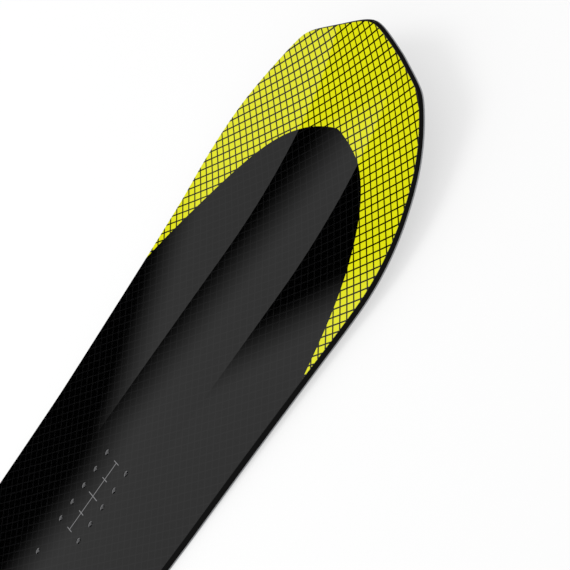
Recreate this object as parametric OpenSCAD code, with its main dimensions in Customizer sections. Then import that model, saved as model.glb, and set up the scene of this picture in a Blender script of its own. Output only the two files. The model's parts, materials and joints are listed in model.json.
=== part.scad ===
// Snowboard with a three-plane nose and tail, built as the laminate of a real board.
// Units are millimetres. X runs to the nose, Y to the left edge and Z up.
// The origin lies at the middle of the board's length, on the floor side of the running base.
// Surface positions: u along the board from the waist, t across it, h above the base.

/* [Outline] */
// Length of the sidecut between the widest points of nose and tail
effective_edge = 1094; // [1000:2:1200]
// Width of the board at its waist
waist_w = 259.5; // [240:0.5:276]
// Radius of the sidecut
sidecut_r = 7900; // [6500:50:10000]
// Surface length of the nose beyond its widest point
nose_len = 236; // [215:1:260]
// Surface length of the tail beyond its widest point
tail_len = 206; // [195:1:240]
// Radius of the shoulders that draw the nose and tail in
shoulder_r = 312; // [285:1:350]
// Angle by which each blunt tip is swept back
tip_sweep = 26; // [22:1:34]
// Radius of the rounded point at each tip
tip_r = 32; // [20:1:45]
// Width of the small flat where the two edges meet at a tip
tip_flat_w = 12; // [8:1:16]

/* [Bent ends] */
// Distance ahead of the widest point at which the base starts to rise
rise_lead = 34; // [10:1:60]
// Radius of the gentle first part of the rise
rise_entry_r = 690; // [600:1:900]
// Surface length of the gentle first part of the rise
rise_entry_len = 160; // [120:1:180]
// Radius of the rest of the rise, up to the tip
rise_tip_r = 356; // [320:1:450]
// Width of the flat plane between the two creases
crease_w = 98; // [85:1:110]
// Angle to which the side planes lift at the tips
uplift_angle = 5.5; // [2:0.1:8]
// Distance ahead of the widest point at which the side planes start to lift
uplift_lead = 260; // [200:1:300]
// Surface length over which the side planes reach their full lift
uplift_run = 358; // [280:1:400]

/* [Layers] */
// Thickness of the running base
base_t = 1.2; // [1:0.1:1.6]
// Thickness of the upper glass laminate
upper_glass_t = 0.6; // [0.4:0.1:1]
// Thickness of the topsheet
topsheet_t = 0.5; // [0.4:0.1:0.8]
// Thickness of the core under the feet
core_mid_t = 5.2; // [5:0.1:7]
// Thickness of the core at the tips
core_tip_t = 3.2; // [2:0.1:4]
// Distance from the waist to the start of the core's taper
core_level_half = 380; // [360:1:420]
// Surface length of the core's taper
core_taper_len = 320; // [250:1:340]

/* [Core] */
// Distance from the centre line to the joint beside the insert stringers
insert_stringer_w = 34; // [30:0.5:40]
// Distance from the centre line to the joint between the side stringers
side_joint_t = 90; // [70:1:100]
// Width of the sidewalls at their foot, and of the steel edges with their flanges
sidewall_w = 8; // [6:0.5:10]
// Distance by which the sidewalls lean in from their foot to the deck
sidewall_lean = 2; // [1:0.1:3]

/* [Steel edges] */
// Width of the steel that shows beside the base
edge_w = 2; // [1.6:0.1:3]
// Thickness of the anchoring flange
edge_flange_t = 0.5; // [0.4:0.1:0.8]
// Thickness of the damping rubber on the flange
edge_rubber_t = 0.2; // [0.1:0.1:0.4]

/* [Binding inserts] */
// Distance between the middles of the two insert packs
stance_w = 532; // [480:1:560]
// Distance by which the stance sits behind the waist
setback = 20; // [0:1:40]
// Pitch of the insert pairs along the board
insert_pitch = 20; // [18:0.5:22]
// Distance between the two insert rows
insert_row_w = 40; // [36:0.5:44]
// Drilled diameter of the insert thread
insert_bore_d = 5; // [4.2:0.1:6]
// Outside diameter of the insert barrel
insert_barrel_d = 9; // [8:0.1:10]
// Diameter of the insert flange
insert_flange_d = 15; // [13:0.1:17]
// Thickness of the insert flange
insert_flange_t = 1; // [0.8:0.1:1.4]
// Thickness of the insert floor below the thread
insert_floor_t = 0.8; // [0.5:0.1:1.2]
// Diameter of the topsheet hole over each insert
insert_mouth_d = 6.2; // [6:0.1:8.5]
// Glue gap round each insert
insert_glue_gap = 0.1; // [0.05:0.05:0.3]
// Thickness of the reinforcing pad under each insert pack
insert_pad_t = 0.3; // [0.2:0.1:0.5]
// Margin of the pad round the insert flanges
insert_pad_margin = 4; // [2:0.5:6]

/* [Hidden] */
$fn = 48;

// Insert pairs of a pack, in pitches from its middle towards its own end of the board
pair_steps = [2, 1, 0, -1, -2, -4];
// Rows of the laminate grid on the running length, on each shoulder and on each tip
run_rows = 10;
shoulder_rows = 10;
tip_rows = 7;
// Crowding of the shoulder rows towards the corners, and of the tip rows away from them
shoulder_ease = 1.6;
tip_ease = 1.3;
// Shoulder rows at which the stringers give way to the tip spacers
centre_core_row = 4;
inner_core_row = 2;
outer_core_row = 0;
// Sharpness of the rounded corners between the shoulders and the tips
corner_sharpness = 24;
// Shares of the space inside the sidewalls that the crease and the side joint keep near the tips
crease_share = 0.6;
joint_share = 0.6;
// Steps of the search for the corner, and step for the slope of the outline
corner_search_steps = 30;
slope_step = 0.05;
// Overrun of a cutting tool past the face that it opens
cut_over = 1;
deg = 180 / PI;

// Levels of the laminate above the floor side of the base
flange_hi = base_t + edge_flange_t;
core_lo = flange_hi + edge_rubber_t;
insert_lo = core_lo + insert_pad_t;
insert_hi = core_lo + core_mid_t + upper_glass_t;

// Places along the surface, counted from the waist
contact_u = effective_edge / 2;
rise_u = contact_u - rise_lead;
uplift_u = contact_u - uplift_lead;

function clamp(x, lo, hi) = min(max(x, lo), hi);

// Outline: a circular sidecut, a circular shoulder and a hyperbola round each tip
tip_k = tan(tip_sweep);
contact_slope = contact_u / sqrt(sidecut_r ^ 2 - contact_u ^ 2);
function sidecut_half(u) = waist_w / 2 + sidecut_r - sqrt(sidecut_r ^ 2 - u ^ 2);
function shoulder_half(v) =
    sidecut_half(contact_u) + contact_slope * v - shoulder_r + sqrt(shoulder_r ^ 2 - v ^ 2);
function tip_half(drop) = tip_r * tip_k * sqrt((drop / (tip_r * tip_k ^ 2) + 1) ^ 2 - 1);
function tip_drop(half) = tip_r * tip_k ^ 2 * (sqrt(1 + (half / (tip_r * tip_k)) ^ 2) - 1);
function blend_min(a, b) =
    (a ^ -corner_sharpness + b ^ -corner_sharpness) ^ (-1 / corner_sharpness);
function half_width(u) =
    let (
        v = abs(u) - contact_u,
        end_len = u > 0 ? nose_len : tail_len
    )
    v <= 0 ? sidecut_half(u) : blend_min(shoulder_half(v), tip_half(end_len - v));

// Distance past the widest point at which the shoulder meets the tip, found by halving
function corner_v(end_len, lo, hi, steps) =
    let (mid = (lo + hi) / 2)
    steps == 0 ? mid
    : shoulder_half(mid) < tip_half(end_len - mid) ? corner_v(end_len, mid, hi, steps - 1)
    : corner_v(end_len, lo, mid, steps - 1);

// Rows of the laminate grid past the widest point, from there to the tip
function end_rows(end_len) =
    let (
        corner = corner_v(end_len, 0, end_len, corner_search_steps),
        corner_half = shoulder_half(corner),
        flat_half = tip_flat_w / 2
    )
    concat(
        [for (i = [1:shoulder_rows]) corner * (1 - (1 - i / shoulder_rows) ^ shoulder_ease)],
        [
            for (i = [1:tip_rows])
                end_len - tip_drop(corner_half + (flat_half - corner_half) * (i / tip_rows) ^ tip_ease)
        ]
    );
nose_rows = end_rows(nose_len);
tail_rows = end_rows(tail_len);
rows = concat(
    [for (i = [len(tail_rows) - 1:-1:0]) -contact_u - tail_rows[i]],
    [for (i = [0:run_rows]) contact_u * (2 * i / run_rows - 1)],
    [for (v = nose_rows) contact_u + v]
);
last_row = len(rows) - 1;
tail_contact_row = len(tail_rows);
nose_contact_row = tail_contact_row + run_rows;

// Point of the left outline at a row, drawn in by a distance square to the outline
function inset(k, d) =
    let (u = rows[k], half = half_width(u))
    k == 0 || k == last_row ? [u, half * (1 - d / sidewall_w / 2)]
    : let (slope = (half_width(u + slope_step) - half_width(u - slope_step)) / (2 * slope_step))
      [u, half] + [slope, -1] * d / sqrt(1 + slope ^ 2);

// Columns of the laminate grid from the left edge to the centre line, then on to the right edge
OUTER = 0;
DECK = 1;
EDGE = 2;
SIDE = 3;
JOINT = 4;
CREASE = 5;
SPLIT = 6;
CENTRE = 7;
function opposite(column) = 2 * CENTRE - column;
function both_sides(left) = concat(left, [for (i = [len(left) - 1:-1:0]) opposite(left[i])]);
function left_columns(k) =
    let (
        inner = inset(k, sidewall_w),
        crease = min(crease_w / 2, crease_share * inner.y),
        joint = min(side_joint_t, crease + joint_share * (inner.y - crease)),
        split = crease * insert_stringer_w / (crease_w / 2)
    )
    concat(
        [inset(k, 0), inset(k, sidewall_lean), inset(k, edge_w), inner],
        [for (t = [joint, crease, split, 0]) [inner.x, t]]
    );
grid = [
    for (k = [0:last_row])
        let (left = left_columns(k))
        concat(left, [for (j = [CENTRE - 1:-1:0]) [left[j].x, -left[j].y]])
];

// Bend of the centre plane at distance r past the start of the rise: a gentle arc, then a tighter one
entry_turn = rise_entry_len / rise_entry_r;
function rise_turn(r) =
    r <= 0 ? 0 : r < rise_entry_len ? r / rise_entry_r : entry_turn + (r - rise_entry_len) / rise_tip_r;
function rise_run(r) =
    r <= 0 ? r : r < rise_entry_len ? rise_entry_r * sin(rise_turn(r) * deg)
    : rise_entry_r * sin(entry_turn * deg)
      + rise_tip_r * (sin(rise_turn(r) * deg) - sin(entry_turn * deg));
function rise_height(r) =
    r <= 0 ? 0 : r < rise_entry_len ? rise_entry_r * (1 - cos(rise_turn(r) * deg))
    : rise_entry_r * (1 - cos(entry_turn * deg))
      + rise_tip_r * (cos(entry_turn * deg) - cos(rise_turn(r) * deg));

// Lift of the side planes outside the creases
function side_lift(u, t) =
    tan(uplift_angle) * clamp((abs(u) - uplift_u) / uplift_run, 0, 1) * max(abs(t) - crease_w / 2, 0);

// Middle of the board's length, which is put over the origin
function reach(u) = rise_u + rise_run(abs(u) - rise_u);
middle_x = (reach(rows[last_row]) - reach(rows[0])) / 2;

// Place in space of the laminate's point over plan point p, at height h
function at(p, h) =
    let (
        r = abs(p.x) - rise_u,
        turn = rise_turn(r) * deg,
        up = h + side_lift(p.x, p.y)
    )
    [
        sign(p.x) * (rise_u + rise_run(r) - up * sin(turn)) - middle_x,
        p.y,
        rise_height(r) + up * cos(turn)
    ];

// Faces between layers, as heights above the base at surface position u
function core_t(u) =
    core_mid_t + (core_tip_t - core_mid_t) * clamp((abs(u) - core_level_half) / core_taper_len, 0, 1);
floor_face = function (u) 0;
base_face = function (u) base_t;
flange_face = function (u) flange_hi;
core_floor = function (u) core_lo;
core_roof = function (u) core_lo + core_t(u);
glass_face = function (u) core_lo + core_t(u) + upper_glass_t;
deck_face = function (u) core_lo + core_t(u) + upper_glass_t + topsheet_t;

function quad(a, b, c, d, turned) = turned ? [[a, b, d], [b, c, d]] : [[a, b, c], [a, c, d]];

// Solid between two faces of the laminate, over the grid cells that covers(row, cell) accepts.
// The diagonals are mirrored about the centre line and repeat from layer to layer,
// so that neighbours meet face to face.
module laminate(columns, lo, hi, covers) {
    n = len(columns);
    function low(k, j) = k * n + j;
    function high(k, j) = low(last_row + 1 + k, j);
    function open(k, j) = k < 0 || k >= last_row || j < 0 || j >= n - 1 || !covers(k, j);
    points = [
        for (face = [lo, hi])
            for (k = [0:last_row])
                for (j = columns)
                    let (p = grid[k][j]) at(p, face(p.x))
    ];
    faces = [
        for (k = [0:last_row - 1])
            for (j = [0:n - 2])
                if (covers(k, j))
                    let (
                        left = columns[j] < CENTRE,
                        a = low(k, j), b = low(k + 1, j), c = low(k + 1, j + 1), d = low(k, j + 1),
                        e = high(k, j), f = high(k + 1, j), g = high(k + 1, j + 1), h = high(k, j + 1)
                    )
                    each concat(
                        quad(e, f, g, h, !left),
                        quad(d, c, b, a, left),
                        open(k, j - 1) ? quad(f, e, a, b, false) : [],
                        open(k, j + 1) ? quad(h, g, c, d, true) : [],
                        open(k + 1, j) ? quad(g, f, b, c, false) : [],
                        open(k - 1, j) ? quad(e, h, d, a, true) : []
                    )
    ];
    polyhedron(points, faces);
}

// Strip of the left half between two columns, for rows up to the given shoulder row at both ends
module core_strip(columns, end_row) {
    laminate(
        columns, core_floor, core_roof,
        function (k, j) k >= tail_contact_row - end_row && k < nose_contact_row + end_row
    );
}

// Bar along the left outline. Its section lists [column, face] corners.
module rail(section) {
    n = len(section);
    points = [
        for (k = [0:last_row])
            for (corner = section)
                let (p = grid[k][corner[0]]) at(p, corner[1](p.x))
    ];
    sides = [
        for (k = [0:last_row - 1])
            for (i = [0:n - 1])
                let (a = k * n + i, b = k * n + (i + 1) % n)
                each quad(b + n, b, a, a + n, i > 1)
    ];
    tail_cap = [for (i = [0:n - 1]) i];
    nose_cap = [for (i = [n - 1:-1:0]) last_row * n + i];
    polyhedron(points, concat(sides, [tail_cap, nose_cap]));
}

// Left-hand piece as it is, or its mirror image on the right
module on_side(right) {
    mirror([0, right ? 1 : 0, 0]) children();
}

// Insert packs: foot is 1 at the front and -1 at the rear
function pack_x(foot) = foot * stance_w / 2 - setback - middle_x;
module at_inserts(foot) {
    for (step = pair_steps)
        for (side = [-1, 1])
            translate([pack_x(foot) + foot * step * insert_pitch, side * insert_row_w / 2, 0])
                children();
}

// Pad under a pack, from its first flange to its last, as wide as the two insert stringers
module pad_block(foot) {
    margin = insert_flange_d / 2 + insert_pad_margin;
    near = min(pair_steps) * insert_pitch - margin;
    pad_len = max(pair_steps) * insert_pitch + margin - near;
    translate([pack_x(foot) + (foot > 0 ? near : -near - pad_len), -insert_stringer_w, core_lo])
        cube([pad_len, 2 * insert_stringer_w, insert_pad_t]);
}

module base_sheet() {
    color("#141416")
        laminate(both_sides([EDGE, SIDE, JOINT, CREASE]), floor_face, base_face, function (k, j) true);
}

module steel_edge(right) {
    color("#b9bcc0") on_side(right)
        rail([
            [OUTER, floor_face], [OUTER, flange_face], [SIDE, flange_face],
            [SIDE, base_face], [EDGE, base_face], [EDGE, floor_face]
        ]);
}

module edge_rubber(right) {
    color("#2a2a2c") on_side(right)
        laminate([OUTER, SIDE], flange_face, core_floor, function (k, j) true);
}

module lower_glass() {
    color("#cfd6c8")
        laminate(both_sides([SIDE, JOINT, CREASE]), base_face, core_floor, function (k, j) true);
}

module insert_pad(foot) {
    color("#e4e0d2") pad_block(foot);
}

// Threaded inserts of one pack: a flange under the core and a barrel with a blind bore
module inserts(foot) {
    color("#a9abae") at_inserts(foot) difference() {
        union() {
            translate([0, 0, insert_lo]) cylinder(d = insert_flange_d, h = insert_flange_t);
            translate([0, 0, insert_lo]) cylinder(d = insert_barrel_d, h = insert_hi - insert_lo);
        }
        translate([0, 0, insert_lo + insert_floor_t])
            cylinder(d = insert_bore_d, h = insert_hi - insert_lo - insert_floor_t + cut_over);
    }
}

// Holes through the core for the insert barrels and flanges
module insert_holes(foot) {
    at_inserts(foot) {
        translate([0, 0, core_lo - cut_over])
            cylinder(
                d = insert_flange_d + 2 * insert_glue_gap,
                h = cut_over + insert_pad_t + insert_flange_t + insert_glue_gap
            );
        barrel_hole();
    }
}

module barrel_hole() {
    translate([0, 0, core_lo - cut_over])
        cylinder(d = insert_barrel_d + 2 * insert_glue_gap, h = insert_hi - core_lo + 2 * cut_over);
}

module insert_stringer(right) {
    color("#d8b98a") on_side(right) difference() {
        core_strip([SPLIT, CENTRE], centre_core_row);
        for (foot = [1, -1]) {
            insert_holes(foot);
            pad_block(foot);
        }
    }
}

module crease_stringer(right) {
    color("#c9a36e") on_side(right) core_strip([CREASE, SPLIT], centre_core_row);
}

module inner_stringer(right) {
    color("#dcc094") on_side(right) core_strip([JOINT, CREASE], inner_core_row);
}

module outer_stringer(right) {
    color("#caa672") on_side(right) core_strip([SIDE, JOINT], outer_core_row);
}

module sidewall(right) {
    color("#0c0c0d") on_side(right)
        rail([[OUTER, core_floor], [DECK, core_roof], [SIDE, core_roof], [SIDE, core_floor]]);
}

// Spacer that takes the place of the core at a tip, stepped to the ends of the stringers
module tip_spacer(nose) {
    ends = [outer_core_row, inner_core_row, centre_core_row, inner_core_row, outer_core_row];
    color("#d9dc10")
        laminate(
            both_sides([SIDE, JOINT, CREASE]), core_floor, core_roof,
            function (k, j) nose ? k >= nose_contact_row + ends[j] : k < tail_contact_row - ends[j]
        );
}

module upper_glass() {
    color("#1a1b1c") difference() {
        laminate(both_sides([DECK, SIDE, JOINT, CREASE]), core_roof, glass_face, function (k, j) true);
        for (foot = [1, -1]) at_inserts(foot) barrel_hole();
    }
}

module topsheet() {
    color("#303032") difference() {
        laminate(both_sides([DECK, SIDE, JOINT, CREASE]), glass_face, deck_face, function (k, j) true);
        for (foot = [1, -1])
            at_inserts(foot)
                translate([0, 0, insert_hi - cut_over])
                    cylinder(d = insert_mouth_d, h = topsheet_t + 2 * cut_over);
    }
}

base_sheet();
steel_edge(false);  // edge_left
steel_edge(true);  // edge_right
edge_rubber(false);  // edge_rubber_left
edge_rubber(true);  // edge_rubber_right
lower_glass();
insert_pad(1);  // insert_pad_front
insert_pad(-1);  // insert_pad_rear
inserts(1);  // inserts_front
inserts(-1);  // inserts_rear
insert_stringer(false);  // insert_stringer_left
insert_stringer(true);  // insert_stringer_right
crease_stringer(false);  // crease_stringer_left
crease_stringer(true);  // crease_stringer_right
inner_stringer(false);  // inner_stringer_left
inner_stringer(true);  // inner_stringer_right
outer_stringer(false);  // outer_stringer_left
outer_stringer(true);  // outer_stringer_right
sidewall(false);  // sidewall_left
sidewall(true);  // sidewall_right
tip_spacer(true);  // nose_spacer
tip_spacer(false);  // tail_spacer
upper_glass();
topsheet();
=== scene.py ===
"""Dresses the snowboard: smooth skins over its laminate, a printed deck, ground steel and a plain studio.

Places on the board are (u, t, h): u along the surface from the waist to the nose, t across it to the left,
and h above the base. All sizes are metres.
"""

import json
import logging
import math
from dataclasses import dataclass
from enum import Enum

import bpy
import numpy as np
from mathutils import Matrix, Vector

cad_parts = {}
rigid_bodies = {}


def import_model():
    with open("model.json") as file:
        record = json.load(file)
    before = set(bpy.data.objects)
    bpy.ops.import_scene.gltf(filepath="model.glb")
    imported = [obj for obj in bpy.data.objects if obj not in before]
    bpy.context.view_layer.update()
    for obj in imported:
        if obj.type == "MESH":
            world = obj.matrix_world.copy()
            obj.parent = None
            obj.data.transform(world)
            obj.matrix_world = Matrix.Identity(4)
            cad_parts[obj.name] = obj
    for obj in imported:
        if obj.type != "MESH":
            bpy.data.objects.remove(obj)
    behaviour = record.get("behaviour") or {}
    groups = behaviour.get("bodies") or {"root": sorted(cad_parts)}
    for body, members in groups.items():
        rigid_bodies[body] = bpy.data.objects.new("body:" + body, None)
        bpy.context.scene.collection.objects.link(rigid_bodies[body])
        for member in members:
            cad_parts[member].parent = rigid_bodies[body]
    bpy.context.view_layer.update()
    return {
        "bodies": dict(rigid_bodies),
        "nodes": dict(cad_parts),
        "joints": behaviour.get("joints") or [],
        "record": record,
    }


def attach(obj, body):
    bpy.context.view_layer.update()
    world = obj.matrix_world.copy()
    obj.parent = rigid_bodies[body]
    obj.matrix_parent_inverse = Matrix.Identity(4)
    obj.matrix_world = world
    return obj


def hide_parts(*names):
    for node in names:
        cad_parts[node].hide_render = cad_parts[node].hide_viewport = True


LOG = logging.getLogger("snowboard")
BODY = "root"
MM_PER_M = 1000
WELD_GRAIN = 1e-7
NOISE_RANGE = (0.3, 0.7)
GLOSS_RANGE = (0.25, 0.75)
WHITE = (1, 1, 1, 1)
BLACK = (0, 0, 0, 1)

Array = np.ndarray
Piece = bpy.types.Object
Pair = tuple[float, float]
Triple = tuple[float, float, float]
Socket = bpy.types.NodeSocket
Feed = Socket | float | tuple
Inputs = dict[str | int, Feed]


class Face(Enum):
    """Faces between the layers of the laminate, named from the floor up."""

    FLOOR = "floor"
    BASE = "base"
    FLANGE = "flange"
    CORE_FLOOR = "core floor"
    CORE_ROOF = "core roof"
    GLASS = "glass"
    DECK = "deck"


class Side(Enum):
    """Long side of the board, with the sign of t on it."""

    LEFT = 1
    RIGHT = -1


class Foot(Enum):
    """Insert pack, with the direction from its middle to its own end of the board."""

    FRONT = 1
    REAR = -1


@dataclass(frozen=True)
class BoardForm:
    """Driving sizes of the board, and the way from its surface into space."""

    effective_edge: float = 1.094
    waist_w: float = 0.2595
    sidecut_r: float = 7.9
    nose_len: float = 0.236
    tail_len: float = 0.206
    shoulder_r: float = 0.312
    tip_sweep: float = math.radians(26)
    tip_r: float = 0.032
    tip_flat_w: float = 0.012
    corner_sharpness: float = 24.0
    rise_lead: float = 0.034
    rise_entry_r: float = 0.690
    rise_entry_len: float = 0.160
    rise_tip_r: float = 0.356
    crease_w: float = 0.098
    uplift_angle: float = math.radians(5.5)
    uplift_lead: float = 0.260
    uplift_run: float = 0.358
    base_t: float = 0.0012
    edge_flange_t: float = 0.0005
    edge_rubber_t: float = 0.0002
    upper_glass_t: float = 0.0006
    topsheet_t: float = 0.0005
    core_mid_t: float = 0.0052
    core_tip_t: float = 0.0032
    core_level_half: float = 0.380
    core_taper_len: float = 0.320
    sidewall_w: float = 0.008
    sidewall_lean: float = 0.002
    edge_w: float = 0.002

    @property
    def contact_u(self) -> float:
        """Distance from the waist to the widest points."""
        return self.effective_edge / 2

    @property
    def rise_u(self) -> float:
        """Distance from the waist to the start of the rise."""
        return self.contact_u - self.rise_lead

    def end_len(self, u: Array) -> Array:
        """Surface length past the widest point, of the nose or the tail."""
        return np.where(u > 0, self.nose_len, self.tail_len)

    def shoulder_half(self, v: Array) -> Array:
        """Half width of the shoulder arc, tangent to the sidecut.

        Args:
            v: Distance past the widest point.

        Returns:
            Half width: widest half, plus the sidecut's slope times v, less the arc's own drop.
        """
        root = math.sqrt(self.sidecut_r**2 - self.contact_u**2)
        widest = self.waist_w / 2 + self.sidecut_r - root
        arc = np.sqrt(np.maximum(self.shoulder_r**2 - v**2, 0))
        return widest + self.contact_u / root * v - self.shoulder_r + arc

    def tip_half(self, drop: Array) -> Array:
        """Half width of the hyperbola that rounds a tip.

        Args:
            drop: Distance back from the tip.

        Returns:
            Half width, from a vertex of radius tip_r to sides swept back by tip_sweep.
        """
        k = math.tan(self.tip_sweep)
        return self.tip_r * k * np.sqrt((np.maximum(drop, 0) / (self.tip_r * k * k) + 1) ** 2 - 1)

    def tip_drop(self, half: Array | float) -> Array | float:
        """Distance back from the tip at which the hyperbola has a half width."""
        k = math.tan(self.tip_sweep)
        return self.tip_r * k * k * (np.sqrt(1 + (half / (self.tip_r * k)) ** 2) - 1)

    def half_width(self, u: Array) -> Array:
        """Half width of the outline.

        Args:
            u: Places along the surface.

        Returns:
            A circular sidecut between the widest points. Past them the lesser of shoulder and tip, blended
            by a power mean of order corner_sharpness.
        """
        v = np.maximum(np.abs(u) - self.contact_u, 0)
        level = np.minimum(np.abs(u), self.contact_u)
        sidecut = self.waist_w / 2 + self.sidecut_r - np.sqrt(self.sidecut_r**2 - level**2)
        shoulder = np.maximum(self.shoulder_half(v), WELD_GRAIN)
        tip = np.maximum(self.tip_half(self.end_len(u) - v), WELD_GRAIN)
        least = np.minimum(shoulder, tip)
        power = -self.corner_sharpness
        blend = least * ((shoulder / least) ** power + (tip / least) ** power) ** (1 / power)
        return np.where(v > 0, blend, sidecut)

    def bend(self, u: Array) -> tuple[Array, Array, Array]:
        """Bend of the centre plane: a gentle arc, then a tighter one.

        Args:
            u: Places along the surface.

        Returns:
            Turn in radians, distance from the waist and height of the base.
        """
        r = np.maximum(np.abs(u) - self.rise_u, 0)
        entry, rest = np.minimum(r, self.rise_entry_len), np.maximum(r - self.rise_entry_len, 0)
        first = entry / self.rise_entry_r
        turn = first + rest / self.rise_tip_r
        run = self.rise_entry_r * np.sin(first) + self.rise_tip_r * (np.sin(turn) - np.sin(first))
        height = self.rise_entry_r * (1 - np.cos(first)) + self.rise_tip_r * (np.cos(first) - np.cos(turn))
        return turn, np.minimum(np.abs(u), self.rise_u) + run, height

    def lift(self, u: Array, t: Array) -> Array:
        """Lift of the side planes: the slope grows along the end, times the distance past the crease."""
        grown = np.clip((np.abs(u) - self.contact_u + self.uplift_lead) / self.uplift_run, 0, 1)
        return math.tan(self.uplift_angle) * grown * np.maximum(np.abs(t) - self.crease_w / 2, 0)

    def level(self, face: Face, u: Array) -> Array:
        """Height of a layer's face above the base.

        Args:
            face: Which face.
            u: Places along the surface.

        Returns:
            The sum of the layers below it, where the core tapers evenly towards the tips.
        """
        taper = np.clip((np.abs(u) - self.core_level_half) / self.core_taper_len, 0, 1)
        core = self.core_mid_t + (self.core_tip_t - self.core_mid_t) * taper
        flange = self.base_t + self.edge_flange_t
        floor = flange + self.edge_rubber_t
        levels = {
            Face.FLOOR: 0.0,
            Face.BASE: self.base_t,
            Face.FLANGE: flange,
            Face.CORE_FLOOR: floor,
            Face.CORE_ROOF: floor + core,
            Face.GLASS: floor + core + self.upper_glass_t,
            Face.DECK: floor + core + self.upper_glass_t + self.topsheet_t,
        }
        return levels[face] + 0 * u

    @property
    def middle_x(self) -> float:
        """Middle of the length between the tip flats, which lies over the origin.

        Returns:
            Half the difference of the distances from the waist to the two flats.
        """
        lengths = np.array([self.nose_len, self.tail_len])
        ends = self.contact_u + lengths - self.tip_drop(self.tip_flat_w / 2)
        nose, tail = self.bend(ends)[1]
        return float(nose - tail) / 2

    def at(self, u: Array, t: Array, h: Array) -> Array:
        """Places surface points in space.

        Args:
            u: Places along the surface.
            t: Places across it.
            h: Heights above the base.

        Returns:
            Points: the bent centre line, plus height and side lift square to it.
        """
        turn, run, height = self.bend(u)
        up = h + self.lift(u, t)
        x = np.sign(u) * (run - up * np.sin(turn)) - self.middle_x
        return np.stack([x, t + 0 * x, height + up * np.cos(turn)], axis=-1)

    def along_deck(self, u: Array) -> Array:
        """Distance along the deck from the waist, shorter than along the base where the board bends up."""
        return np.sign(u) * (np.abs(u) - self.level(Face.DECK, u) * self.bend(u)[0])


@dataclass(frozen=True)
class InsertLayout:
    """Places of the threaded inserts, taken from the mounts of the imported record."""

    middles: dict[Foot, float]
    pitch: float
    row_w: float
    steps: tuple[int, ...] = (2, 1, 0, -1, -2, -4)

    @classmethod
    def from_record(cls, record: dict, form: BoardForm) -> "InsertLayout":
        """Reads the middle of each pack, the pitch and the row distance.

        Args:
            record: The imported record.
            form: The board, for its middle.

        Returns:
            The layout, with the middles counted from the waist.
        """
        mounts = {mount["name"]: mount for mount in record["mounts"]}
        inner = {foot: mounts[f"binding_{foot.name.lower()}_inner"] for foot in Foot}
        middles = {foot: mount["pos_m"][0] + form.middle_x for foot, mount in inner.items()}
        sizes = inner[Foot.FRONT]["dims"]
        two_pitches = sizes["spacing_x_mm"] / MM_PER_M
        return cls(middles, two_pitches / 2, sizes["spacing_y_mm"] / MM_PER_M)

    def centres(self, foot: Foot) -> Array:
        """Places of the inserts of one pack.

        Args:
            foot: Which pack.

        Returns:
            Plan places (u, t), pair by pair: whole pitches from the middle, and half a row distance across.
        """
        along = self.middles[foot] + foot.value * self.pitch * np.array(self.steps)
        across = self.row_w / 2 * np.array([1, -1])
        return np.stack(np.meshgrid(along, across, indexing="ij"), -1).reshape(-1, 2)

    def span(self, foot: Foot) -> Pair:
        """Lowest and highest u of a pack, half a pitch past its outer inserts."""
        u = self.centres(foot)[:, 0]
        return float(u.min() - self.pitch / 2), float(u.max() + self.pitch / 2)


@dataclass(frozen=True)
class Weave:
    """Counts of the rows and columns that every skin is laid out on."""

    shoulder_rows: int = 44
    tip_rows: int = 36
    run_step: float = 0.012
    cells_per_pitch: int = 16
    hole_ring: int = 3
    rim_columns: int = 13
    flank_columns: int = 5
    shoulder_ease: float = 1.6
    tip_ease: float = 1.3
    crease_share: float = 0.9
    corner_samples: int = 4001

    def end_rows(self, form: BoardForm, end_len: float) -> Array:
        """Rows past the widest point of one end.

        Args:
            form: The board.
            end_len: Surface length of the end.

        Returns:
            Distances past the widest point, crowded at the corner and spread by half width to the tip.
        """
        v = np.linspace(0, end_len, self.corner_samples)
        corner = v[form.shoulder_half(v) < form.tip_half(end_len - v)].max()
        shoulder_shares = np.arange(1, self.shoulder_rows + 1) / self.shoulder_rows
        tip_shares = np.arange(1, self.tip_rows + 1) / self.tip_rows
        shoulder = corner * (1 - (1 - shoulder_shares) ** self.shoulder_ease)
        half = form.shoulder_half(np.array(corner)) * (1 - tip_shares**self.tip_ease)
        return np.concatenate([shoulder, end_len - form.tip_drop(half)])

    def rows(self, form: BoardForm, layout: InsertLayout | None) -> Array:
        """Rows of the whole board from the tail's vertex to the nose's.

        Args:
            form: The board.
            layout: Inserts to crowd the rows around, if any.

        Returns:
            Places along the surface.
        """
        stops = [-form.contact_u, form.contact_u]
        steps = [self.run_step]
        if layout:
            rear, front = layout.span(Foot.REAR), layout.span(Foot.FRONT)
            fine = layout.pitch / self.cells_per_pitch
            stops = [stops[0], *rear, *front, stops[1]]
            steps = [self.run_step, fine, self.run_step, fine, self.run_step]
        runs = [
            np.linspace(lo, hi, max(round((hi - lo) / step), 1), endpoint=False)
            for lo, hi, step in zip(stops, stops[1:], steps)
        ]
        tail = -form.contact_u - self.end_rows(form, form.tail_len)[::-1]
        nose = form.contact_u + self.end_rows(form, form.nose_len)
        return np.concatenate([tail, *runs, [form.contact_u], nose])

    def columns(self, form: BoardForm, layout: InsertLayout | None) -> Array:
        """Columns between the creases, as places across the running length.

        Args:
            form: The board.
            layout: Inserts to crowd the columns around, if any.

        Returns:
            Places from the left crease to the right one.
        """
        crease = form.crease_w / 2
        if layout is None:
            return np.linspace(crease, -crease, 2 * self.flank_columns + 1)
        reach = layout.pitch / 2
        near, far = layout.row_w / 2 - reach, layout.row_w / 2 + reach
        left = np.concatenate([
            np.linspace(crease, far, self.flank_columns, endpoint=False),
            np.linspace(far, near, self.cells_per_pitch, endpoint=False),
            np.linspace(near, 0, self.cells_per_pitch // 2, endpoint=False),
        ])
        return np.concatenate([left, [0], -left[::-1]])


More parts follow.
